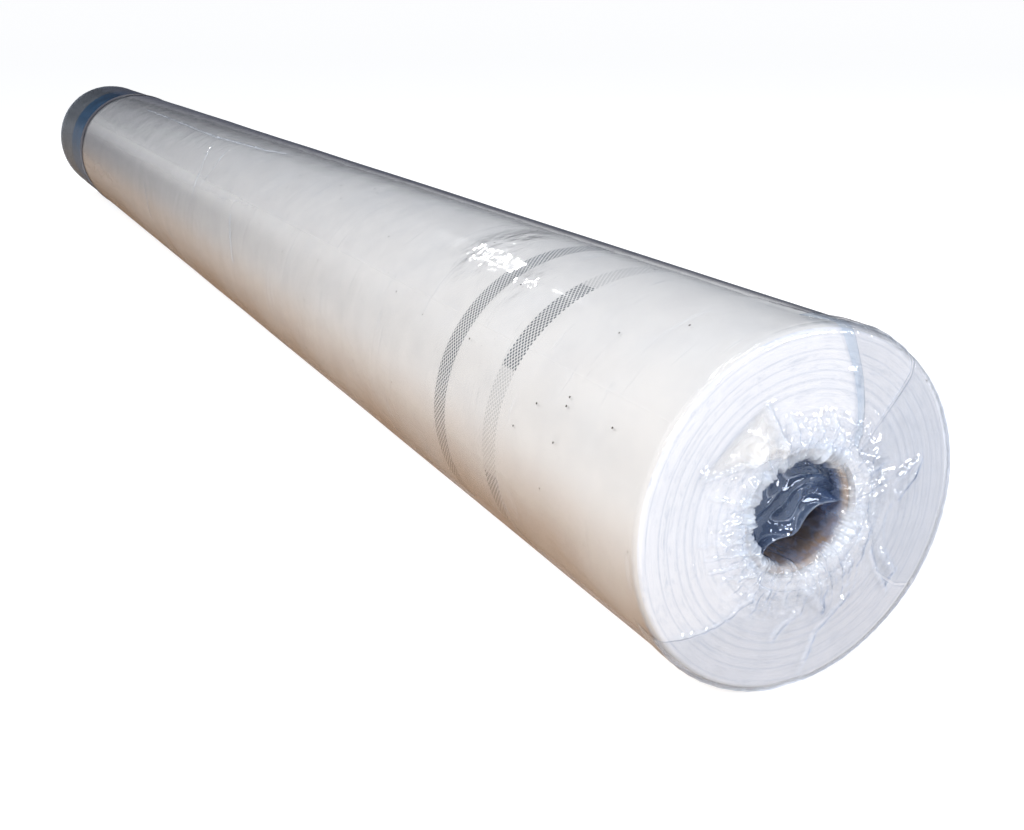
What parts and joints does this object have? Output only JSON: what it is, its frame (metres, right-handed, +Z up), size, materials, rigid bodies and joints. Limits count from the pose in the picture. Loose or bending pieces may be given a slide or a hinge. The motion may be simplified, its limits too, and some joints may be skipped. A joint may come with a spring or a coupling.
{
  "type": "membrane roll",
  "caption": "Roll of nonwoven anti-condensation membrane on a cardboard core, closed by a tape band and packed in clear film gathered into the bore",
  "frame": {"origin": "under the middle of the roll, on the surface that it rests on", "axes": "+X runs along the roll's axis to the pictured end, +Z is up, +Y is the side away from the picture's camera"},
  "size_m": [1.5065, 0.1448, 0.1436],
  "materials": {
    "membrane": "off-white spunbonded nonwoven, slightly fibrous, with a grey dotted lap line",
    "cardboard": "brown spirally wound board",
    "start_tape": "thin double-sided tape",
    "blue_tape": "blue packing tape, half gloss",
    "film": "clear shrunk film, glossy and creased"
  },
  "bodies": {
    "root": {"cardboard_core": "cardboard", "start_tape": "start_tape", "membrane_inner_turns": "membrane", "membrane_outer_turns": "membrane", "blue_tape_band": "blue_tape", "film_sleeve": "film", "far_film_wrap": "film", "near_end_film": "film", "far_end_film": "film"}
  },
  "joints": []
}
